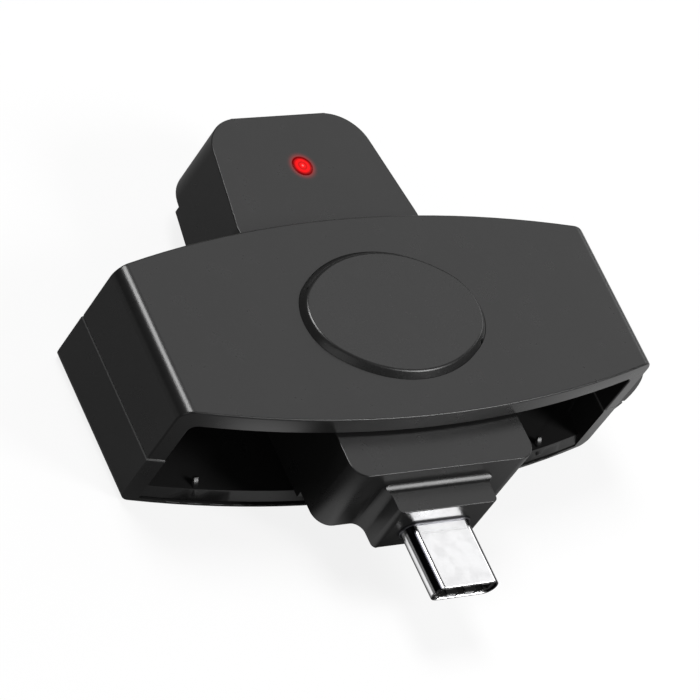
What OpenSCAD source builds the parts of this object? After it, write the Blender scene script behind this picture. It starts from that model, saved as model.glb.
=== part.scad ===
// Pocket smart card reader: a two-shell sleeve that a card slides into, and a
// reader stem that swivels in it about the oval pad, with a plug at its front.
// Millimetres. The sleeve stands on z = 0, its length runs along X, the plug
// points along -Y and the card comes in from +Y with its contacts up.

/* [Sleeve] */
// Length of the sleeve
sleeve_length = 60; // [59:0.5:64]
// Width of the sleeve at its two ends
end_width = 17.5; // [16.5:0.5:19]
// How far each long side bulges out at its middle
side_bulge = 3.65; // [3:0.25:4.5]
// Height of the sleeve
sleeve_height = 15.5; // [15:0.25:17.5]
// Thickness of the two end walls
end_wall = 2; // [1.8:0.1:2.3]
// Thickness of the roof
roof = 2.3; // [2.2:0.1:2.6]
// Thickness of the floor that the card lies on
floor_thick = 2; // [1.7:0.1:2.2]
// Height of the parting line between the two shells
parting = 7.15; // [6.5:0.25:8]

/* [Pad] */
// Length of the oval pad over the pivot
pad_length = 22.4; // [21:0.2:23.2]
// Width of the oval pad
pad_width = 15.9; // [14.7:0.2:16.7]
// How far the pad stands above the roof
pad_rise = 0.7; // [0.5:0.1:1]

/* [Stem] */
// Full width of the stem, inside the sleeve
stem_width = 23.1; // [22.5:0.25:24]
// Width of the stem's lamp end, where its corners start
tip_width = 18.9; // [18.1:0.2:19.5]
// Wall thickness of the stem's housing
shell_wall = 1.2; // [1:0.1:1.3]
// Height of the slot left under the stem for the card
card_gap = 1.1; // [1:0.05:1.2]

/* [Nose] */
// Width of the nose that holds the plug
nose_width = 12.4; // [11.6:0.2:12.8]
// Radius of the flare from the stem's front into the nose's sides
flare_r = 1.35; // [1:0.05:1.6]
// Distance from the pivot to the nose's front face
nose_reach = 20.3; // [20:0.1:20.5]

/* [Hidden] */
$fn = 48;
e = 0.01;

// Running gaps of the swivel
swing_gap = 0.25;
lift_gap = 0.3;
turn_gap = 0.1;

// Card, ISO ID-1: its contacts from its leading edge and from its long edge
card_w = 53.98;
contact_row = 11.25;
contact_rows_apart = 7.62;
contact_column = 20.08;
contact_pitch = 2.54;
contact_x0 = -card_w / 2 + contact_column;

// Sleeve
half_l = sleeve_length / 2;
mid_half = end_width / 2 + side_bulge;
side_r = (half_l * half_l + side_bulge * side_bulge) / (2 * side_bulge);
side_y = side_r - mid_half;
hollow_half = half_l - end_wall;
roof_under = sleeve_height - roof;
top_round = 1.6;
foot_round = 1.1;
hollow_round = 0.8;
lip = 0.5;
groove_high = 0.3;
groove_deep = 0.35;
floor_slope = 0.6;
relief = 0.65;
relief_r = hollow_half + relief;
stop_inset = 4.99;
stop_x = card_w / 2 - stop_inset;
stop_y = 8.8;
stop_wide = 0.5;
stop_high = 0.8;
stop_tip = sqrt(side_r * side_r - stop_x * stop_x) - side_y - 0.2;
peg_r = 0.55;
peg_x = half_l - end_wall / 2;
peg_y = end_width / 2 - 2.2;
peg_high = 1.6;
bump_out = 1.3;
bump_low = 4.7;
bump_high = sleeve_height - 2.2;
bump_wide = 4;

// Pivot, between the roof and the pad
hub_r = 4;
land_r = 6;
bore_floor = roof_under + 1;
hub_top = bore_floor + turn_gap;
washer_r = 5.7;
washer_thick = 0.45;
pad_seat = 0.35;
pad_lean = 0.6;
pad_low = sleeve_height - pad_seat;
pad_top = sleeve_height + pad_rise;
screw_head_r = 1.9;
screw_head = 0.55;
screw_r = 1;
screw_low = hub_top - 4.2;
stop_peg_r = 0.6;
stop_track = 8.6;
track_deep = 0.7;

// Stem
stem_low = floor_thick + card_gap;
base_thick = 0.85;
rim = stem_low + base_thick;
stem_top = roof_under - lift_gap;
reach = relief_r - swing_gap;
tip_y = reach - 0.7;
tip_half = tip_width / 2;
taper_y = tip_y - 13.7;
front_y = -17.1;
front_round = 2;
tip_round = 4.6;
tip_under = 2.2;
base_back = tip_y - 4.5;
base_front = front_y + 4.3;
mouth_back = base_back - 0.9;
mouth_front = base_front - 0.7;
bottom_wall = 1.2;
ceiling = stem_top - shell_wall;
nose_low = rim;
nose_top = rim + 6.45;
cove_run = 0.92;
cove_rise = 0.45;
cove_r = (cove_run * cove_run + cove_rise * cove_rise) / (2 * cove_rise);
flare_round = 1.8;

// Board and what holds it
board_thick = 0.8;
plug_z = rim + 2.85;
board_low = plug_z - board_thick / 2;
board_top = plug_z + board_thick / 2;
board_front = front_y + 3.9;
board_back = tip_y - 5.8;
post_r = 1.7;
post_front = front_y + 6.5;
post_back = tip_y - 9.3;
post_at = [[8.2, post_front], [-8.2, post_front], [7, post_back], [-7, post_back]];
pin_r = 0.8;
pin_head_r = 1.4;
pin_up = board_top + 2.9;

// Lamp
lamp_y = tip_y - 6.65;
lamp_r = 1.2;
lamp_flange = 1.7;
led_high = 0.6;

// Contact block, and the springs in its slots
block_x = contact_x0 + 1.5 * contact_pitch;
block_y = -stop_y + contact_row + contact_rows_apart / 2;
block_w = 10.6;
block_l = 14.2;
block_gap = 0.15;
slot_w = 1.1;
slot_end = 0.8;
slot_middle = 1.2;
comb_deep = 0.3;
spring_w = 0.85;
spring_t = 0.16;
spring_low = floor_thick + 0.37;
spring_run = 1.6;
spring_rise = 1.9;
hook_run = 0.8;
hook_rise = 0.8;
tail_out = 0.9;
tail_in = 1.1;

// The stem is never narrower than its walls over the contact block
stem_half = max(stem_width / 2, abs(block_x) + block_w / 2 + shell_wall + block_gap);

// Switch that a full card presses
switch_x = 6.6;
switch_y = -4.6;
switch_w = 3;
switch_l = 3.4;
switch_h = 1.5;
lever_w = 0.8;

// Chips on the board: width, length and height, and the middle of each
controller = [6, 6, 0.9];
controller_at = [5.6, -5];
supply = [2.9, 1.7, 1.1];
supply_at = [-3, front_y + 6.7];
can = [3.2, 2.5, 0.8];
can_at = [-5.4, -6];
ceramic = [0.6, 1.1, 0.5];
ceramic_pitch = 1.6;
ceramic_rows = [[5, 4, 5.6], [4, 7, 9.6]];

// USB type C plug, standard sizes
plug_w = 8.25;
plug_h = 2.4;
plug_wall = 0.25;
plug_tip = -sqrt(reach * reach - plug_w * plug_w / 4);
plug_rear = front_y + 2.1;
tongue_w = plug_w - 1.75;
tongue_h = 0.95;
tongue_deep = 5.3;
pin_pitch = 0.5;
pin_w = 0.24;
pin_t = 0.14;
tab_pitch = 2.3;
tab_w = 0.9;
collar_w = plug_w + 0.44;
collar_h = plug_h + 0.4;
collar_out = 0.25;
collar_in = 0.4;

// A convex outline with each corner p[i] rounded to the radius r[i]
module rounded(p, r) {
    n = len(p);
    unit = function (v) v / norm(v);
    a = [for (i = [0 : n - 1]) unit(p[(i + n - 1) % n] - p[i])];
    b = [for (i = [0 : n - 1]) unit(p[(i + 1) % n] - p[i])];
    half = [for (i = [0 : n - 1]) acos(a[i] * b[i]) / 2];
    back = [for (i = [0 : n - 1]) r[i] / tan(half[i])];
    polygon([for (i = [0 : n - 1]) each [p[i] + a[i] * back[i], p[i] + b[i] * back[i]]]);
    for (i = [0 : n - 1])
        translate(p[i] + unit(a[i] + b[i]) * r[i] / sin(half[i]))
            circle(r[i]);
}

// A slot shape, w wide and h high, with full round ends
module obround(w, h) {
    square([w - h, h], center = true);
    for (s = [-1, 1])
        translate([s * (w - h) / 2, 0])
            circle(h / 2);
}

// An obround that runs along Y from y0 to y1 at the plug's height
module plug_bar(w, h, y0, y1) {
    translate([0, y1, plug_z])
        rotate([90, 0, 0])
            linear_extrude(y1 - y0)
                obround(w, h);
}

// A box from corner a to corner b
module span(a, b) {
    translate(a)
        cube(b - a);
}

// An oval plate of four arcs, l long and w wide at its foot, its edge drawn in by lean
module oval(l, w, h, lean = 0) {
    a = l / 2;
    b = w / 2;
    r1 = b * 0.74;
    r2 = ((a - r1) * (a - r1) + b * b - r1 * r1) / (2 * (b - r1));
    out = [a - r1, r2 - b] * w / (r2 - r1);
    for (s = [-1, 1])
        translate([s * (a - r1), 0, 0])
            cylinder(h, r1 = r1, r2 = r1 - lean);
    for (s = [0, 1])
        mirror([0, s, 0])
            intersection() {
                linear_extrude(h)
                    polygon([[r1 - a, -0.1], [a - r1, -0.1], [a - r1 + out[0], out[1]],
                             [r1 - a - out[0], out[1]]]);
                translate([0, b - r2, 0])
                    cylinder(h, r1 = r2, r2 = r2 - lean, $fn = 96);
            }
}

// The sleeve's two long sides seen from above
module sleeve_plan() {
    intersection() {
        translate([0, side_y])
            circle(side_r, $fn = 360);
        translate([0, -side_y])
            circle(side_r, $fn = 360);
    }
}

// The sleeve's outer profile along its length
module sleeve_profile() {
    rounded([[-half_l, 0], [half_l, 0], [half_l, sleeve_height], [-half_l, sleeve_height]],
            [foot_round, foot_round, top_round, top_round]);
}

// The hollow's profile, open to the long sides
module hollow_profile() {
    rounded([[-hollow_half, floor_thick], [hollow_half, floor_thick],
             [hollow_half, roof_under], [-hollow_half, roof_under]],
            [0.1, 0.1, hollow_round, hollow_round]);
}

// A profile in X and Z, run through the whole width
module through() {
    translate([0, 30, 0])
        rotate([90, 0, 0])
            linear_extrude(60)
                children();
}

// The thumb bump on the right end wall
module bump() {
    chord = bump_high - bump_low;
    r = (chord * chord / 4 + bump_out * bump_out) / (2 * bump_out);
    intersection() {
        translate([half_l + bump_out - r, 0, (bump_high + bump_low) / 2])
            rotate([90, 0, 0])
                cylinder(end_width / 2 - 0.4, r = r, $fn = 96);
        span([half_l - 0.5, -end_width / 2 + 0.4, 0],
             [half_l + 2 * bump_out, -end_width / 2 + 0.4 + bump_wide, sleeve_height]);
    }
}

module sleeve_body() {
    difference() {
        intersection() {
            linear_extrude(sleeve_height)
                sleeve_plan();
            through()
                sleeve_profile();
        }
        through()
            hollow_profile();
        translate([0, 0, floor_thick])
            cylinder(roof_under - floor_thick, r = relief_r, $fn = 180);
    }
    bump();
}

// What the floor's two long edges lose: a groove over the lip, then a slope
module floor_edge_cut() {
    slope_low = lip + groove_high;
    for (s = [-1, 1])
        difference() {
            translate([-hollow_half, s > 0 ? 0 : -30, lip])
                cube([2 * hollow_half, 30, floor_thick]);
            translate([0, -s * side_y, 0]) {
                cylinder(slope_low, r = side_r - groove_deep, $fn = 360);
                translate([0, 0, slope_low])
                    cylinder(floor_thick - slope_low + e, r1 = side_r - 0.1,
                             r2 = side_r - floor_slope, $fn = 360);
            }
        }
}

// A thin rib over the floor's front slope, whose upright back edge stops the card
module card_stop() {
    translate([-stop_wide / 2, 0, floor_thick - e])
        rotate([90, 0, 90])
            linear_extrude(stop_wide)
                polygon([[-stop_y, -0.2], [-stop_y, stop_high], [-stop_y - 0.15, stop_high],
                         [-stop_tip, stop_high - 1.25], [-stop_tip, stop_high - 1.5],
                         [-stop_y - 0.9, -0.9]]);
}

module sleeve_top() {
    color("dimgray")
    difference() {
        intersection() {
            sleeve_body();
            span([-50, -30, parting], [50, 30, 30]);
        }
        translate([0, 0, roof_under - 1])
            cylinder(9, r = hub_r + turn_gap);
        translate([0, 0, bore_floor])
            cylinder(9, r = washer_r + 0.3);
        translate([0, 0, pad_low])
            oval(pad_length + 0.1, pad_width + 0.1, 9);
        for (x = [-peg_x, peg_x], y = [-peg_y, peg_y])
            translate([x, y, parting - e])
                cylinder(peg_high + 0.2, r = peg_r + 0.03);
    }
    color("dimgray")
    translate([0, -stop_track, stem_top - track_deep + 0.15])
        cylinder(roof_under + e - (stem_top - track_deep + 0.15), r = stop_peg_r);
}

module sleeve_bottom() {
    color("dimgray") {
        difference() {
            intersection() {
                sleeve_body();
                span([-50, -30, 0], [50, 30, parting]);
            }
            floor_edge_cut();
        }
        for (x = [-stop_x, stop_x])
            translate([x, 0, 0])
                card_stop();
        for (x = [-peg_x, peg_x], y = [-peg_y, peg_y])
            translate([x, y, parting - 0.5])
                cylinder(peg_high + 0.5, r = peg_r);
    }
}

module pivot_pad() {
    color("gray")
    difference() {
        union() {
            translate([0, 0, pad_low])
                oval(pad_length, pad_width, pad_seat);
            translate([0, 0, sleeve_height])
                oval(pad_length, pad_width, pad_rise, pad_lean);
        }
        translate([0, 0, pad_low - e])
            cylinder(0.55, r = screw_head_r + 0.3);
    }
}

module pivot_washer() {
    color("silver")
    difference() {
        translate([0, 0, hub_top])
            cylinder(washer_thick, r = washer_r);
        translate([0, 0, hub_top - 1])
            cylinder(3, r = screw_r + 0.1);
    }
}

module pivot_screw() {
    color("silver")
    difference() {
        union() {
            translate([0, 0, screw_low])
                cylinder(hub_top + washer_thick + e - screw_low, r = screw_r);
            translate([0, 0, hub_top + washer_thick])
                cylinder(screw_head, r = screw_head_r);
        }
        translate([0, 0, hub_top + washer_thick + screw_head - 0.3])
            for (t = [0, 90])
                rotate(t)
                    translate([-1.1, -0.2, 0])
                        cube([2.2, 0.4, 1]);
    }
}

// The stem seen from above, drawn in by inset
module stem_plan(inset = 0) {
    intersection() {
        rounded([[stem_half - inset, front_y + inset], [stem_half - inset, taper_y],
                 [tip_half - inset, tip_y - inset], [-tip_half + inset, tip_y - inset],
                 [-stem_half + inset, taper_y], [-stem_half + inset, front_y + inset]],
                [front_round - inset, 4, tip_round - inset, tip_round - inset, 4,
                 front_round - inset]);
        circle(reach - inset, $fn = 180);
    }
}

// The stem's side profile in Y and Z, with the lamp end rounded underneath
module stem_side(inset = 0) {
    rounded([[-30, rim + inset], [tip_y - inset, rim + inset], [tip_y - inset, stem_top - inset],
             [-30, stem_top - inset]],
            [0.1, tip_under - inset, 0.1, 0.1]);
}

// A Y and Z profile, run through the whole width
module across() {
    rotate([90, 0, 90])
        translate([0, 0, -30])
            linear_extrude(60)
                children();
}

// The nose seen from above, with a flare at each side of its root
module nose_plan() {
    w = nose_width / 2;
    difference() {
        translate([-w - flare_r, front_y - flare_r])
            square([2 * (w + flare_r), flare_r + 2]);
        for (s = [-1, 1])
            translate([s * (w + flare_r), front_y - flare_r])
                circle(flare_r);
    }
    rounded([[-w, -nose_reach], [w, -nose_reach], [w, front_y + 2], [-w, front_y + 2]],
            [0.6, 0.6, 0.1, 0.1]);
}

// The nose in Y and Z, with a shallow cove where its top meets the stem
module nose_side() {
    translate([-nose_reach, nose_low])
        square([nose_reach + front_y + 2, nose_top - nose_low]);
    difference() {
        translate([front_y - cove_run, nose_top - 1])
            square([cove_run + 2, 1 + cove_rise]);
        translate([front_y - cove_run, nose_top + cove_r])
            circle(cove_r);
    }
}

// The nose in X and Z where it is widest, its two upper corners rounded
module nose_section() {
    w = nose_width / 2 + flare_r;
    top = nose_top + cove_rise;
    rounded([[-w, nose_low - 2], [w, nose_low - 2], [w, top], [-w, top]],
            [0.5, 0.5, flare_round, flare_round]);
}

module nose() {
    intersection() {
        translate([0, 0, nose_low])
            linear_extrude(nose_top + cove_rise - nose_low)
                nose_plan();
        across()
            nose_side();
        through()
            nose_section();
    }
}

module stem_housing() {
    color("dimgray")
    difference() {
        union() {
            intersection() {
                translate([0, 0, rim])
                    linear_extrude(stem_top - rim)
                        stem_plan();
                across()
                    stem_side();
            }
            nose();
            translate([0, 0, stem_top - e])
                cylinder(roof_under - turn_gap - stem_top + e, r = land_r);
            translate([0, 0, stem_top - e])
                cylinder(hub_top - stem_top + e, r = hub_r);
        }
        difference() {
            intersection() {
                translate([0, 0, rim + bottom_wall])
                    linear_extrude(ceiling - rim - bottom_wall)
                        stem_plan(shell_wall);
                across()
                    stem_side(shell_wall);
            }
            for (p = post_at)
                translate([p[0], p[1], board_top])
                    cylinder(20, r = post_r);
            translate([0, 0, screw_low - 0.8])
                cylinder(20, r = 2.6);
            translate([0, 0, ceiling - 0.8])
                cylinder(20, r = stop_track + 1.4);
        }
        intersection() {
            translate([0, 0, rim - 1])
                linear_extrude(bottom_wall + 1 + e)
                    stem_plan(shell_wall);
            span([-30, mouth_front, 0], [30, mouth_back, 20]);
        }
        translate([0, 0, screw_low - 0.2])
            cylinder(20, r = screw_r + 0.03);
        for (p = post_at)
            translate([p[0], p[1], board_top - 1])
                cylinder(pin_up - board_top + 1.2, r = pin_r + 0.03);
        translate([0, lamp_y, 0])
            cylinder(40, r = lamp_r + 0.05);
        stop_track_cut();
        plug_bar(plug_w + 0.1, plug_h + 0.1, -nose_reach - 1, front_y + shell_wall + 1);
        plug_bar(collar_w + 0.1, collar_h + 0.1, -nose_reach - 1, -nose_reach + collar_in);
    }
}

// The quarter-turn groove that the roof's peg runs in
module stop_track_cut() {
    w = stop_peg_r + 0.2;
    intersection() {
        difference() {
            translate([0, 0, stem_top - track_deep])
                cylinder(track_deep + 1, r = stop_track + w);
            translate([0, 0, stem_top - track_deep - 1])
                cylinder(track_deep + 3, r = stop_track - w);
        }
        union() {
            span([-20, -20, 0], [0, 0, 30]);
        }
    }
    for (p = [[0, -stop_track], [-stop_track, 0]])
        translate([p[0], p[1], stem_top - track_deep])
            cylinder(track_deep + 1, r = w);
}

module stem_base() {
    color("slategray")
    difference() {
        union() {
            intersection() {
                translate([0, 0, stem_low])
                    linear_extrude(base_thick)
                        stem_plan();
                span([-30, base_front, 0], [30, base_back, 30]);
            }
            intersection() {
                translate([0, 0, rim - e])
                    linear_extrude(0.8)
                        stem_plan(shell_wall + 0.12);
                span([-30, mouth_front + 0.12, 0], [30, mouth_back - 0.12, 30]);
            }
            for (p = post_at)
                translate([p[0], p[1], rim - e])
                    cylinder(board_low - rim + e, r = post_r);
        }
        translate([block_x - block_w / 2 - block_gap, block_y - block_l / 2 - block_gap, 0])
            cube([block_w + 2 * block_gap, block_l + 2 * block_gap, 20]);
        translate([switch_x - 0.7, switch_y - switch_l / 2 - 1.2, 0])
            cube([1.4, switch_l + 1.6, 20]);
        for (p = post_at) {
            translate([p[0], p[1], 0])
                cylinder(20, r = pin_r + 0.1);
            translate([p[0], p[1], stem_low - e])
                cylinder(pin_head_r - pin_r - 0.1 + e, r1 = pin_head_r + 0.1 + e, r2 = pin_r + 0.1);
        }
    }
}

module base_screws() {
    color("silver")
    for (p = post_at)
        translate([p[0], p[1], stem_low])
            difference() {
                union() {
                    cylinder(pin_head_r - pin_r, r1 = pin_head_r, r2 = pin_r);
                    cylinder(pin_up - stem_low, r = pin_r);
                }
                for (t = [0, 90])
                    rotate(t)
                        translate([-0.8, -0.15, -1])
                            cube([1.6, 0.3, 1.35]);
            }
}

module status_lens() {
    color("red")
    translate([0, lamp_y, 0]) {
        translate([0, 0, board_top + led_high + 0.3])
            cylinder(ceiling - 0.02 - board_top - led_high - 0.3, r = lamp_flange);
        translate([0, 0, ceiling - 0.1])
            cylinder(stem_top - ceiling + 0.1, r = lamp_r);
    }
}

module status_led() {
    color("white")
    translate([-0.8, lamp_y - 0.4, board_top])
        cube([1.6, 0.8, led_high]);
}

module circuit_board() {
    color("darkgreen")
    difference() {
        intersection() {
            translate([0, 0, board_low])
                linear_extrude(board_thick)
                    stem_plan(shell_wall + 0.25);
            span([-30, board_front, 0], [30, board_back, 30]);
        }
        for (p = post_at)
            translate([p[0], p[1], 0])
                cylinder(20, r = pin_r + 0.1);
    }
}

// A chip on the board, its middle at p, of the size d
module chip(p, d) {
    translate([p[0] - d[0] / 2, p[1] - d[1] / 2, board_top])
        cube(d);
}

module controller_chip() {
    color("black")
    chip(controller_at, controller);
}

module supply_chip() {
    color("black")
    chip(supply_at, supply);
}

module crystal() {
    color("silver")
    chip(can_at, can);
}

module small_parts() {
    color("tan") {
        for (row = ceramic_rows, i = [0 : row[0] - 1])
            chip([row[1] - ceramic_pitch * i, row[2]], ceramic);
        turned = [ceramic[1], ceramic[0], ceramic[2]];
        for (y = [0.8, -1])
            chip([supply_at[0] + 5.4, supply_at[1] + y], turned);
        chip([2.2, lamp_y - 3], turned);
    }
}

module contact_block() {
    color("ivory")
    translate([block_x, block_y, 0])
        difference() {
            span([-block_w / 2, -block_l / 2, stem_low + 0.05], [block_w / 2, block_l / 2, board_low]);
            for (i = [-1.5 : 1.5], s = [0, 1])
                mirror([0, s, 0])
                    span([i * contact_pitch - slot_w / 2, slot_middle, 0],
                         [i * contact_pitch + slot_w / 2, block_l / 2 - slot_end, 20]);
            for (i = [-1.5 : 1.5])
                translate([i * contact_pitch - slot_w / 2, -block_l, board_low - comb_deep])
                    cube([slot_w, 2 * block_l, 1]);
        }
}

// A strip bent along the Y and Z points p, w wide
module strip(p, w) {
    n = len(p);
    t = spring_t / 2;
    unit = function (v) v / norm(v);
    side = function (v) [-v[1], v[0]];
    run = [for (i = [0 : n - 2]) unit(p[i + 1] - p[i])];
    lean = [for (i = [0 : n - 1])
        let (a = run[max(i - 1, 0)], b = run[min(i, n - 2)], m = unit(side(a) + side(b)))
        m * t / (m * side(a))];
    translate([-w / 2, 0, 0])
        rotate([90, 0, 90])
            linear_extrude(w)
                polygon(concat([for (i = [0 : n - 1]) p[i] + lean[i]],
                               [for (i = [n - 1 : -1 : 0]) p[i] - lean[i]]));
}

module card_contacts() {
    far = contact_rows_apart / 2;
    z_tail = board_low - spring_t / 2;
    path = [[block_l / 2 + tail_out, z_tail], [block_l / 2 - tail_in, z_tail],
            [far + spring_run, spring_low + spring_rise], [far, spring_low + spring_t / 2],
            [far - hook_run, spring_low + hook_rise],
            [far - 2 * hook_run, spring_low + 1.5 * hook_rise]];
    color("gold")
    for (i = [-1.5 : 1.5], s = [0, 1])
        translate([block_x + i * contact_pitch, block_y, 0])
            mirror([0, s, 0])
                strip(path, spring_w);
}

module card_switch() {
    color("black")
    span([switch_x - switch_w / 2, switch_y - switch_l / 2, board_low - switch_h],
         [switch_x + switch_w / 2, switch_y + switch_l / 2, board_low]);
}

module switch_lever() {
    z = board_low - switch_h - spring_t / 2;
    y = switch_y - switch_l / 2;
    color("gold")
    translate([switch_x, 0, 0])
        strip([[switch_y + 1.2, z], [y + 0.6, z], [y - 0.3, spring_low + 0.1],
               [y - 0.8, spring_low + 0.6]], lever_w);
}

module plug_shell() {
    color("gainsboro")
    difference() {
        plug_bar(plug_w, plug_h, plug_tip, plug_rear);
        plug_bar(plug_w - 2 * plug_wall, plug_h - 2 * plug_wall, plug_tip - 1, plug_rear + 1);
    }
}

module plug_insulator() {
    w = plug_w - 2 * plug_wall - 0.06;
    h = plug_h - 2 * plug_wall - 0.06;
    color("black")
    difference() {
        plug_bar(w, h, plug_tip + 0.2, plug_rear + 0.4);
        translate([-tongue_w / 2, plug_tip - 1, plug_z - tongue_h / 2])
            cube([tongue_w, tongue_deep + 1.2, tongue_h]);
        for (i = [-5.5 : 5.5], s = [-1, 1])
            translate([i * pin_pitch - pin_w / 2 - 0.02, plug_tip + 1.2,
                       plug_z + s * (tongue_h / 2 + 0.05) - 0.12])
                cube([pin_w + 0.04, 20, 0.24]);
        for (i = [-1 : 1], s = [-1, 1])
            translate([i * tab_pitch - tab_w / 2 - 0.03, plug_tip - 1,
                       s > 0 ? plug_z + tongue_h / 2 - e : plug_z - 2])
                cube([tab_w + 0.06, 2.1, 2 - tongue_h / 2 + e]);
    }
}

// One row of twelve contacts that ends in tails on one face of the board
module plug_row(s) {
    z = tongue_h / 2 + 0.05;
    for (i = [-5.5 : 5.5])
        translate([i * pin_pitch, 0, plug_z])
            mirror([0, 0, s > 0 ? 0 : 1]) {
                span([-pin_w / 2, plug_tip + 1.4, z - pin_t / 2],
                     [pin_w / 2, plug_rear + 1.2, z + pin_t / 2]);
                span([-pin_w / 2, board_front - 0.9, board_thick / 2],
                     [pin_w / 2, board_front + 1.4, board_thick / 2 + pin_t]);
            }
}

module plug_contacts_top() {
    color("gold")
    plug_row(1);
}

module plug_contacts_bottom() {
    color("gold")
    plug_row(-1);
}

module plug_springs() {
    color("silver")
    for (i = [-1 : 1], s = [-1, 1])
        translate([i * tab_pitch, 0, plug_z])
            mirror([0, 0, s > 0 ? 0 : 1])
                span([-tab_w / 2, plug_tip + 0.1, plug_h / 2 - plug_wall - 0.34],
                     [tab_w / 2, plug_tip + 1.08, plug_h / 2 - plug_wall]);
}

module plug_collar() {
    color("silver")
    difference() {
        plug_bar(collar_w, collar_h, -nose_reach - collar_out, -nose_reach + collar_in);
        plug_bar(plug_w + 0.04, plug_h + 0.04, -nose_reach - 2, -nose_reach + 2);
    }
}

sleeve_top();
sleeve_bottom();
pivot_pad();
pivot_washer();
pivot_screw();
stem_housing();
stem_base();
base_screws();
status_lens();
status_led();
circuit_board();
controller_chip();
supply_chip();
crystal();
small_parts();
contact_block();
card_contacts();
card_switch();
switch_lever();
plug_shell();
plug_insulator();
plug_contacts_top();
plug_contacts_bottom();
plug_springs();
plug_collar();
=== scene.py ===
import math

import bmesh
import bpy
from mathutils import Matrix, Vector


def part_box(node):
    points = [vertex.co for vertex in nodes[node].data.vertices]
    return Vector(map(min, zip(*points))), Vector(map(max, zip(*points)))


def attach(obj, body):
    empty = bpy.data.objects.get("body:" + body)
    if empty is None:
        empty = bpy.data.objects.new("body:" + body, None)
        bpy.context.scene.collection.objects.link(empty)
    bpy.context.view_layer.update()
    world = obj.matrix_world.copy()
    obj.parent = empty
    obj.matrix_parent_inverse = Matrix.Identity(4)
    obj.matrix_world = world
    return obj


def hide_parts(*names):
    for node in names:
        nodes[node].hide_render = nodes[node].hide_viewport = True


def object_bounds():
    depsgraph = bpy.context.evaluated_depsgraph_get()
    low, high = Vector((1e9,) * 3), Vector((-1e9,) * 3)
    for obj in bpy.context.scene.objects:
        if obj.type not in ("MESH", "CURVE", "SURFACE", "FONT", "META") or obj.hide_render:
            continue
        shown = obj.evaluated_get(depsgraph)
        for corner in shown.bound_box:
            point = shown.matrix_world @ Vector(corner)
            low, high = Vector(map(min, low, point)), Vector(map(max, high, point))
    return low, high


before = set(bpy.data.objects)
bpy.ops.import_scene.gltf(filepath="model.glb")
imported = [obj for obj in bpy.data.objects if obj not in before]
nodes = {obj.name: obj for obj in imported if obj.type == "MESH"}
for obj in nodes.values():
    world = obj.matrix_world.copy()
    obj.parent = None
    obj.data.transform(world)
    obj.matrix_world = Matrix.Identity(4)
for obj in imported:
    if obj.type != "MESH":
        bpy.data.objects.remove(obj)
cad_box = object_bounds()

MM = 0.001
FINE = 0.02                     # how near a point counts as on a plane, in mm
BLACK = (0, 0, 0, 1)
WHITE = (1, 1, 1, 1)

# Where the lamp is, in metres, and the plug's tip, in mm, from the frame
lens_low, lens_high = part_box("status_lens")
stem_top = lens_high.z
lamp = (lens_low + lens_high) / 2
plug_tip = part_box("plug_shell")[0].y / MM

# The object's own measures, in mm
sleeve_end = 30.0               # half the sleeve's length
middle_y = 12.4                 # half its depth in the middle
corner_y = 8.75                 # half its depth at the corners
parting = 7.15                  # height of the line between its two shells
pad_face = 16.2                 # height of the pad's flat face
swivel_clear = 11.3             # the stem's top edge is rounded only beyond this
nose_reach = 20.3               # how far the nose's front stands out
nose_neck = 4.6                 # half the width of the plug's collar in that front
base_front, base_back = -12, 22     # the base's edges show before and behind these
base_low = 4.0                  # and in front only below this
plug_mouth = 0.6                # length of the plug's mouth whose edges are rounded
collar_front = -20.4            # the collar's edges show before this
lens_radius, lens_flange = 1.19, 1.7


class Wire:
    """The output of a shader node, on which Python's own signs do the sums."""

    def __init__(self, graph, socket):
        self.graph = graph
        self.socket = socket

    def sum(self, operation, *values):
        return self.graph.node("Math", {"operation": operation}, dict(enumerate(values)))

    def __add__(self, other):
        return self.sum("ADD", self, other)

    def __sub__(self, other):
        return self.sum("SUBTRACT", self, other)

    def __rsub__(self, other):
        return self.sum("SUBTRACT", other, self)

    def __mul__(self, other):
        return self.sum("MULTIPLY", self, other)

    __radd__ = __add__
    __rmul__ = __mul__

    def size(self):
        """The same number without its sign."""
        return self.sum("ABSOLUTE", self)

    def between(self, low, high):
        """0 at low, 1 at high, with a soft start and end."""
        return self.graph.node("MapRange", {"interpolation_type": "SMOOTHSTEP"},
                               {0: self, 1: low, 2: high})


class Graph:
    """The nodes of a material or of the world."""

    def __init__(self, tree):
        self.tree = tree

    def plug(self, socket, value):
        if isinstance(value, Wire):
            self.tree.links.new(value.socket, socket)
        else:
            socket.default_value = value

    def node(self, kind, settings=None, inputs=None, output=0):
        """Any node: its type, then its settings, then what its sockets take."""
        made = self.tree.nodes.new("ShaderNode" + kind)
        for name, value in (settings or {}).items():
            setattr(made, name, value)
        for name, value in (inputs or {}).items():
            self.plug(made.inputs[name], value)
        return Wire(self, made.outputs[output])


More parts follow.
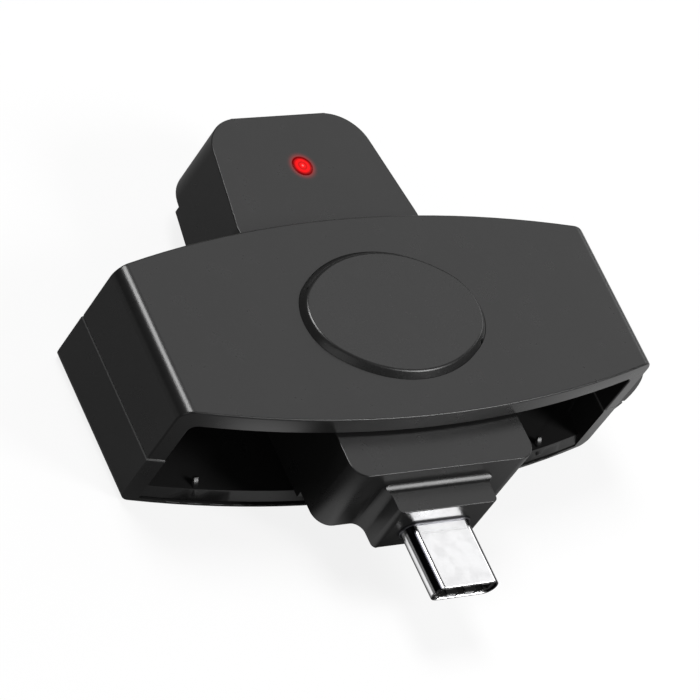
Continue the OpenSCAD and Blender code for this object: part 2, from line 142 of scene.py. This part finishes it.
class Finish(Graph):
    """One procedural material, with its Principled surface."""

    def __init__(self, name, **surface):
        self.material = bpy.data.materials.new(name)
        self.material.use_nodes = True
        super().__init__(self.material.node_tree)
        self.shader = self.tree.nodes["Principled BSDF"]
        self.set(**surface)

    def set(self, **surface):
        """Sets or feeds sockets of the surface: base_color is Base Color."""
        for name, value in surface.items():
            label = name.replace("_", " ").title().replace("Ior", "IOR")
            self.plug(self.shader.inputs[label], value)

    def place(self):
        """Where a point of the object is, in metres."""
        return self.node("TexCoord", output=3)

    def along(self, axis):
        """How far a point is along x, y or z (0, 1 or 2), in mm."""
        place = self.node("SeparateXYZ", inputs={"Vector": self.place()}, output=axis)
        return place * (1 / MM)

    def away_from(self, spot):
        """How far a point is from a spot given in metres, in mm."""
        return self.node("VectorMath", {"operation": "DISTANCE"},
                         {0: self.place(), 1: spot}, 1) * (1 / MM)

    def stretched(self, scale):
        """The same place, drawn out along the axes."""
        return self.node("Mapping", inputs={"Vector": self.place(), "Scale": scale})

    def noise(self, size_mm, detail=2.0, roughness=0.5, at=None):
        """Noise whose spots are about size_mm wide."""
        return self.node("TexNoise", inputs={"Vector": at or self.place(),
                                             "Scale": 1 / (size_mm * MM),
                                             "Detail": detail, "Roughness": roughness})

    def cells(self, size_mm, feature="F1", at=None):
        """Cells about size_mm wide: the way to their middles, or to their edges."""
        return self.node("TexVoronoi", {"feature": feature},
                         {"Vector": at or self.place(), "Scale": 1 / (size_mm * MM)})

    def blend(self, mask, first, second):
        """first where the mask is 0, second where it is 1."""
        return self.node("Mix", {"data_type": "RGBA"}, {0: mask, 6: first, 7: second}, 2)

    def bump(self, height, depth_mm, under=None):
        """A relief depth_mm deep, which may lie over another."""
        inputs = {"Height": height, "Distance": depth_mm * MM, "Strength": 1.0}
        if under:
            inputs["Normal"] = under
        return self.node("Bump", inputs=inputs)


def grey(level):
    return (level, level, level, 1)


def moulded_plastic(name, colour, satin, grain=0.16, rim=False, glow=False):
    """Black moulded plastic: a fine eroded grain, faint flow shades, rubbed patches in its
    gloss, and with rim a painted highlight on its edge.
    """
    finish = Finish(name)
    grain_deep, sink_deep = 0.0022, 0.005
    flow = finish.noise(9, detail=3, at=finish.stretched((1, 0.45, 1)))
    speck = finish.noise(0.5, detail=2)
    rubbed = finish.noise(3.2, detail=4, roughness=0.6).between(0.52, 0.72)
    shade = finish.blend(flow.between(0.3, 0.7), grey(colour * 0.93), grey(colour * 1.06))
    shade = finish.blend(speck.between(0.45, 0.75) * 0.3, shade, grey(colour * 1.25))
    pits = finish.cells(grain)
    dust = finish.noise(grain * 0.8, detail=1)
    skin = finish.bump(pits * 0.7 + dust * 0.5, grain_deep)
    sink = finish.bump(finish.noise(14, detail=1), sink_deep, under=skin)
    # With rim, a painted highlight: a pale line along the floor shell's upper outer edge.
    if rim:
        shade = finish.blend(painted_rim_highlight(finish, speck), shade, grey(0.16))
    if glow:
        finish.set(emission_color=lamp_glow(finish), emission_strength=1.0)
    finish.set(base_color=shade, normal=sink,
               roughness=(satin + (flow - 0.5) * 0.05 - rubbed * 0.02
                          + (speck - 0.5) * 0.03))
    return finish.material


def painted_rim_highlight(finish, speck):
    """1 on the floor shell's outer upper edge: a painted highlight, a pale line in place of
    the light that the edge catches.
    """
    edge = finish.along(2).between(parting - 0.3, parting - 0.16)
    return edge * (0.75 + speck * 0.4)


def lamp_glow(finish):
    """The red light that the lamp sheds on the plastic round it."""
    near = 1 - finish.away_from((lamp.x, lamp.y, stem_top)).between(0.9, 2.1)
    return finish.blend(near * near, BLACK, (0.36, 0.004, 0.005, 1))


def bright_steel(name, tint, roughness, run=(1, 40, 1), sides=False):
    """Plated sheet metal, polished along its run; with sides, a painted dark reflection: a
    near-black band down each rounded side.
    """
    finish = Finish(name, metallic=1.0)
    streak = finish.noise(0.6, detail=3, at=finish.stretched(run))
    patch = finish.noise(1.4, detail=2)
    dull = tuple(part * 0.9 for part in tint[:3]) + (1,)
    tone_and_painted_dark = finish.blend(patch.between(0.35, 0.7), tint, dull)
    # Painted dark reflection: near-black bands where the plug's rounded sides would mirror a
    # dark surround.
    if sides:
        out = finish.along(0).size()
        painted_dark_reflection = out.between(3.25, 3.4) * (1 - out.between(3.95, 4.08))
        tone_and_painted_dark = finish.blend(painted_dark_reflection, tone_and_painted_dark, (0.035, 0.035, 0.04, 1))
    finish.set(base_color=tone_and_painted_dark, normal=finish.bump(streak, 0.0006),
               roughness=roughness + (streak - 0.5) * 0.12 + (patch - 0.5) * 0.05)
    return finish.material


def gold_leaf(name):
    """Thin gold over springs and contacts, wiped along their length."""
    finish = Finish(name, metallic=1.0)
    patch = finish.noise(0.5, detail=3)
    wipe = finish.noise(0.15, detail=2, at=finish.stretched((1, 6, 1)))
    gold = finish.blend(patch.between(0.35, 0.65), (0.83, 0.55, 0.2, 1), (0.92, 0.66, 0.3, 1))
    finish.set(base_color=gold, normal=finish.bump(wipe, 0.0008),
               roughness=0.22 + (wipe - 0.5) * 0.2)
    return finish.material


def solder_mask(name):
    """Green varnish over copper tracks and a ground plane."""
    finish = Finish(name, coat_weight=0.3, coat_roughness=0.15)
    tracks = finish.cells(1.1, feature="DISTANCE_TO_EDGE", at=finish.stretched((1, 1.6, 1)))
    line = 1 - tracks.between(0.08, 0.14)
    weave = finish.noise(0.35, detail=2)
    green = finish.blend(line, (0.006, 0.085, 0.03, 1), (0.02, 0.19, 0.06, 1))
    green = finish.blend(weave.between(0.4, 0.8) * 0.4, green, (0.004, 0.06, 0.02, 1))
    finish.set(base_color=green, normal=finish.bump(line + weave * 0.15, 0.02),
               roughness=0.34 - line * 0.08)
    return finish.material


def moulded_epoxy(name, colour, roughness=0.5):
    """The sandy skin of chips, switch bodies and contact carriers."""
    finish = Finish(name)
    sand = finish.noise(0.08, detail=3)
    cloud = finish.noise(1.5, detail=2)
    finish.set(base_color=finish.blend(cloud, grey(colour * 0.85), grey(colour * 1.2)),
               normal=finish.bump(sand, 0.004), roughness=roughness + (sand - 0.5) * 0.2)
    return finish.material


def fired_ceramic(name):
    """The tan, mottled bodies of the board's small parts."""
    finish = Finish(name)
    bake = finish.noise(0.25, detail=3)
    tan = finish.blend(bake, (0.28, 0.17, 0.09, 1), (0.4, 0.27, 0.15, 1))
    finish.set(base_color=tan, normal=finish.bump(bake, 0.006), roughness=0.42 + bake * 0.15)
    return finish.material


def lamp_red(name):
    """A lit red lens: brightest round its middle, deep red at its rim."""
    finish = Finish(name, specular_ior_level=0.06)
    out = finish.away_from((lamp.x, lamp.y, stem_top))
    cloud = finish.noise(0.5, detail=2)
    rim = (out + (cloud - 0.5) * 0.1).between(0.7, 1.14)
    ring = out.between(0.3, 0.42) * (1 - out.between(0.5, 0.62))
    pip = 1 - out.between(0.06, 0.2)
    red = finish.blend(rim, (0.92, 0.006, 0.008, 1), (0.12, 0.001, 0.001, 1))
    red = finish.blend(ring * 0.85, red, (0.4, 0.002, 0.003, 1))
    red = finish.blend(pip, red, (1.0, 0.3, 0.28, 1))
    body = finish.blend(rim, (0.3, 0.004, 0.004, 1), (0.08, 0.001, 0.002, 1))
    finish.set(base_color=body, emission_color=red, emission_strength=0.85,
               roughness=0.2 + cloud * 0.06)
    return finish.material


sleeve_skin = moulded_plastic("sleeve_black_plastic", 0.02, 0.29)
# The floor shell's plastic, with a painted highlight along its upper outer edge.
rim_highlight_skin = moulded_plastic("floor_shell_black_plastic", 0.02, 0.29, rim=True)
stem_skin = moulded_plastic("stem_black_plastic", 0.02, 0.29, glow=True)
pad_skin = moulded_plastic("pad_black_plastic", 0.02, 0.27, grain=0.14)
# Bright plug steel, with a painted dark reflection down its sides.
plug_steel = bright_steel("plug_bright_steel", (0.94, 0.94, 0.95, 1), 0.14, sides=True)
collar_steel = bright_steel("collar_grey_steel", (0.14, 0.14, 0.15, 1), 0.36,
                            run=(40, 1, 1))
screw_steel = bright_steel("screw_steel", (0.6, 0.6, 0.62, 1), 0.3)
spring_steel = bright_steel("spring_steel", (0.7, 0.7, 0.7, 1), 0.26)
can_steel = bright_steel("can_steel", (0.66, 0.65, 0.62, 1), 0.3, run=(1, 1, 1))
contact_gold = gold_leaf("contact_gold")
lens_red = lamp_red("lens_red")
board_green = solder_mask("board_green")
chip_black = moulded_epoxy("chip_black", 0.03)
block_black = moulded_epoxy("block_black", 0.028, 0.42)
led_white = moulded_epoxy("led_white", 0.6, 0.4)
ceramic_tan = fired_ceramic("ceramic_tan")

# The nodes whose own shape is right, and their finishes
dressing = {
    "pivot_washer": spring_steel,
    "pivot_screw": screw_steel,
    "base_screws": screw_steel,
    "status_led": led_white,
    "circuit_board": board_green,
    "controller_chip": chip_black,
    "supply_chip": chip_black,
    "crystal": can_steel,
    "small_parts": ceramic_tan,
    "contact_block": block_black,
    "card_contacts": contact_gold,
    "card_switch": block_black,
    "switch_lever": contact_gold,
    "plug_insulator": block_black,
    "plug_contacts_top": contact_gold,
    "plug_contacts_bottom": contact_gold,
    "plug_springs": spring_steel,
}
for name, skin in dressing.items():
    mesh = nodes[name].data
    mesh.materials.clear()
    mesh.materials.append(skin)


def finished(name, mesh, skin, body, node):
    """Puts a mesh in the scene as a piece that rides on its body, in place of a node."""
    piece = bpy.data.objects.new(name, mesh)
    bpy.context.scene.collection.objects.link(piece)
    mesh.materials.clear()
    mesh.materials.append(skin)
    for face in mesh.polygons:
        face.use_smooth = True
    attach(piece, body)
    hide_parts(node)
    return piece


def outline_of(node, weld_mm):
    """A node's faces with the flat ones whole again, free of seams."""
    flat = math.radians(0.5)
    shape = bmesh.new()
    shape.from_mesh(nodes[node].data)
    bmesh.ops.remove_doubles(shape, verts=shape.verts, dist=weld_mm * MM)
    bmesh.ops.dissolve_limit(shape, angle_limit=flat, verts=shape.verts,
                             edges=shape.edges, use_dissolve_boundaries=False)
    return shape


def broken_edges(node, radius_mm, shown, steps=3, weld_mm=0.002):
    """The node's shape with its shown sharp edges rounded to a real radius."""
    sharp = math.radians(32)
    shape = outline_of(node, weld_mm)
    rounded = [edge for edge in shape.edges
               if len(edge.link_faces) == 2 and edge.calc_face_angle(0) > sharp
               and all(shown(v.co / MM) for v in edge.verts)]
    bmesh.ops.bevel(shape, geom=rounded, offset=radius_mm * MM, offset_type="OFFSET",
                    segments=steps, profile=0.5, affect="EDGES", clamp_overlap=False)
    bmesh.ops.recalc_face_normals(shape, faces=shape.faces)
    mesh = bpy.data.meshes.new(node + "_rounded")
    shape.to_mesh(mesh)
    shape.free()
    return mesh


def even_shading(piece):
    """Keeps flat faces flat to the eye beside their rounded edges."""
    piece.data.set_sharp_from_angle(angle=math.radians(34))
    weighted = piece.modifiers.new("even shading", "WEIGHTED_NORMAL")
    weighted.keep_sharp = True
    weighted.mode = "FACE_AREA_WITH_ANGLE"
    weighted.weight = 50


def edge_y(x):
    """How far the sleeve's curved front and back stand from its middle, at x."""
    bulge, half = middle_y - corner_y, sleeve_end
    curve = (half * half + bulge * bulge) / (2 * bulge)
    return math.sqrt(curve * curve - x * x) - curve + middle_y


def on_the_frame(p):
    """On the curved front or back, or on the parting edge of an end."""
    in_face = abs(abs(p.y) - edge_y(min(abs(p.x), sleeve_end))) < 3 * FINE
    return in_face or (abs(p.z - parting) < FINE and abs(p.x) > sleeve_end - FINE)


def on_the_rim(p):
    """On the floor shell's upper edge, where the two halves meet in a fine line."""
    return on_the_frame(p) and p.z > parting - 0.4


def on_the_pad_edge(p):
    return p.z > pad_face - FINE / 2


def on_the_stem_edge(p):
    """Round the stem's flat top, and round the front of its nose."""
    from_lamp = Vector((p.x - lamp.x / MM, p.y - lamp.y / MM)).length
    round_the_top = (abs(p.z - stem_top / MM) < FINE
                     and Vector((p.x, p.y)).length > swivel_clear
                     and from_lamp > lens_flange + 0.3)
    return round_the_top or (abs(p.y + nose_reach) < FINE and abs(p.x) > nose_neck)


def on_the_base_edge(p):
    return (p.z < base_low and p.y < base_front) or p.y > base_back


def on_the_plug_mouth(p):
    return p.y < plug_tip + plug_mouth


def on_the_collar_edge(p):
    return p.y < collar_front


# Piece, its node, its edges' radius in mm, which edges, how they are cut otherwise,
# finish, body, slot
rounded_pieces = (
    ("sleeve_roof_shell", "sleeve_top", 0.2, on_the_frame, {},
     sleeve_skin, "sleeve", "sleeve_plastic"),
    ("sleeve_floor_shell", "sleeve_bottom", 0.2, on_the_rim, {},
     rim_highlight_skin, "sleeve", "sleeve_plastic"),
    ("pivot_cap", "pivot_pad", 0.2, on_the_pad_edge, {"weld_mm": 0.1},
     pad_skin, "sleeve", "pad_plastic"),
    ("stem_cover", "stem_housing", 0.13, on_the_stem_edge, {},
     stem_skin, "stem", "stem_plastic"),
    ("stem_underside", "stem_base", 0.08, on_the_base_edge, {},
     stem_skin, "stem", "stem_plastic"),
    ("plug_sleeve", "plug_shell", 0.07, on_the_plug_mouth, {},
     plug_steel, "stem", "plug_steel"),
    ("plug_root_ring", "plug_collar", 0.07, on_the_collar_edge, {"steps": 2},
     collar_steel, "stem", "collar_steel"),
)
for name, node, radius_mm, shown, bevel, skin, body, slot in rounded_pieces:
    even_shading(finished(name, broken_edges(node, radius_mm, shown, **bevel),
                          skin, body, node))


def turned(profile, centre):
    """A body turned about the upright line through centre, from (radius, height) in mm."""
    steps = 72
    shape = bmesh.new()
    rings = []
    for radius, height in profile:
        angles = [2 * math.pi * i / steps for i in range(steps)] if radius else [0]
        rings.append([shape.verts.new((centre.x + radius * MM * math.cos(a),
                                       centre.y + radius * MM * math.sin(a), height * MM))
                      for a in angles])
    for low, high in zip(rings, rings[1:]):
        for i in range(steps):
            j = (i + 1) % steps
            if len(low) == 1:
                shape.faces.new((low[0], high[j], high[i]))
            elif len(high) == 1:
                shape.faces.new((low[i], low[j], high[0]))
            else:
                shape.faces.new((low[i], low[j], high[j], high[i]))
    bmesh.ops.recalc_face_normals(shape, faces=shape.faces)
    mesh = bpy.data.meshes.new("turned")
    shape.to_mesh(mesh)
    shape.free()
    return mesh


def lens_profile():
    """Flange, barrel, and a shallow dome with a rounded shoulder."""
    low, high, chamfer = lens_low.z / MM, stem_top / MM, 0.1
    flange_top, rise, steps = high - 1.22, 0.1, 10
    dome = [(lens_radius * math.sin(a), high - 0.02 + rise * math.cos(a) ** 1.5)
            for a in (math.pi / 2 * i / steps for i in range(steps, -1, -1))]
    dome[-1] = (0, dome[-1][1])
    return [(0, low), (lens_flange - chamfer, low), (lens_flange, low + chamfer),
            (lens_flange, flange_top - chamfer), (lens_flange - chamfer, flange_top),
            (lens_radius, flange_top), (lens_radius, high - 0.1)] + dome


lens = finished("status_window", turned(lens_profile(), lamp), lens_red,
                "stem", "status_lens")
lens.data.set_sharp_from_angle(angle=math.radians(50))


def floor_finish():
    """A pale floor that the camera sees as white, apart from the object's shadow.

    In the object's gloss it is bright on the right and beside the plug, dim elsewhere.
    """
    finish = Finish("pale_floor", roughness=0.9, specular_ior_level=0.1)
    camera, glossy, through = (finish.node("LightPath", output="Is %s Ray" % kind)
                               for kind in ("Camera", "Glossy", "Transmission"))
    by_plug = finish.away_from((-0.012, -0.021, 0))
    mirrored = (0.02 + finish.along(1).between(-14, -4) * 0.1
                + finish.along(0).between(8, 38) * 0.45
                + (1 - by_plug.between(3, 9)) * 0.8)
    seen = camera * 0.86 + glossy * mirrored + through * 0.86
    finish.set(base_color=finish.blend(finish.noise(60, detail=2), grey(0.14), grey(0.15)),
               emission_color=finish.blend(seen, BLACK, WHITE), emission_strength=1.0)
    return finish.material


def pale_floor():
    """The floor, a hair below the object so that the two don't share a plane."""
    below = 0.1 * MM
    shape = bmesh.new()
    bmesh.ops.create_grid(shape, x_segments=4, y_segments=4, size=3)
    mesh = bpy.data.meshes.new("floor")
    shape.to_mesh(mesh)
    shape.free()
    mesh.materials.append(floor_finish())
    floor = bpy.data.objects.new("floor", mesh)
    floor.location.z = cad_box[0][2] - below
    bpy.context.scene.collection.objects.link(floor)


def soft_box(name, towards, width, height, glow):
    """A studio lamp that faces the object; glow is its face's brightness."""
    away = 0.9
    light = bpy.data.lights.new(name, "AREA")
    light.shape = "RECTANGLE"
    light.size = width
    light.size_y = height
    light.energy = glow * math.pi * width * height
    box = bpy.data.objects.new(name, light)
    box.location = Vector(towards).normalized() * away
    box.rotation_euler = (-box.location).to_track_quat("-Z", "Y").to_euler()
    bpy.context.scene.collection.objects.link(box)


def studio():
    """A white surround for the camera only, and soft lamps on all sides of the object."""
    dim = 0.03
    world = bpy.data.worlds.new("studio")
    world.use_nodes = True
    graph = Graph(world.node_tree)
    camera, through = (graph.node("LightPath", output="Is %s Ray" % kind)
                       for kind in ("Camera", "Transmission"))
    back = world.node_tree.nodes["Background"]
    graph.plug(back.inputs["Color"], WHITE)
    graph.plug(back.inputs["Strength"], dim + camera + through)
    bpy.context.scene.world = world
    soft_box("overhead_box", (-0.11, 0.43, 0.9), 0.34, 0.34, 14)
    soft_box("sky_panel", (0.584, 0.428, 0.689), 0.4, 0.4, 0.98)
    soft_box("left_fill", (-0.6, -0.62, 0.5), 0.7, 0.5, 0.7)
    soft_box("low_front", (0.5, -0.85, 0.16), 0.5, 0.2, 1.2)
    soft_box("front_box", (0.584, -0.5, 0.66), 0.26, 0.34, 13)
    soft_box("right_box", (0.9, 0.25, 0.36), 0.45, 0.25, 1.8)


def photo_camera():
    """The camera as fitted to the photograph: its place, turn and focal length."""
    across = Vector((0.80749, -0.39146, 0.44127))
    down = Vector((-0.08102, -0.81458, -0.57437))
    forward = Vector((0.58429, 0.42805, -0.68948))
    camera = bpy.data.cameras.new("camera")
    camera.sensor_width = 36
    camera.lens = 247.31
    camera.clip_start = 0.01
    camera.clip_end = 20
    camera_object = bpy.data.objects.new("camera", camera)
    turn = Matrix((across, -down, -forward)).transposed().to_4x4()
    camera_object.matrix_world = Matrix.Translation((-0.29093, -0.21148, 0.35025)) @ turn
    bpy.context.scene.collection.objects.link(camera_object)
    bpy.context.scene.camera = camera_object


pale_floor()
studio()
photo_camera()
bpy.context.scene.view_settings.view_transform = "Standard"
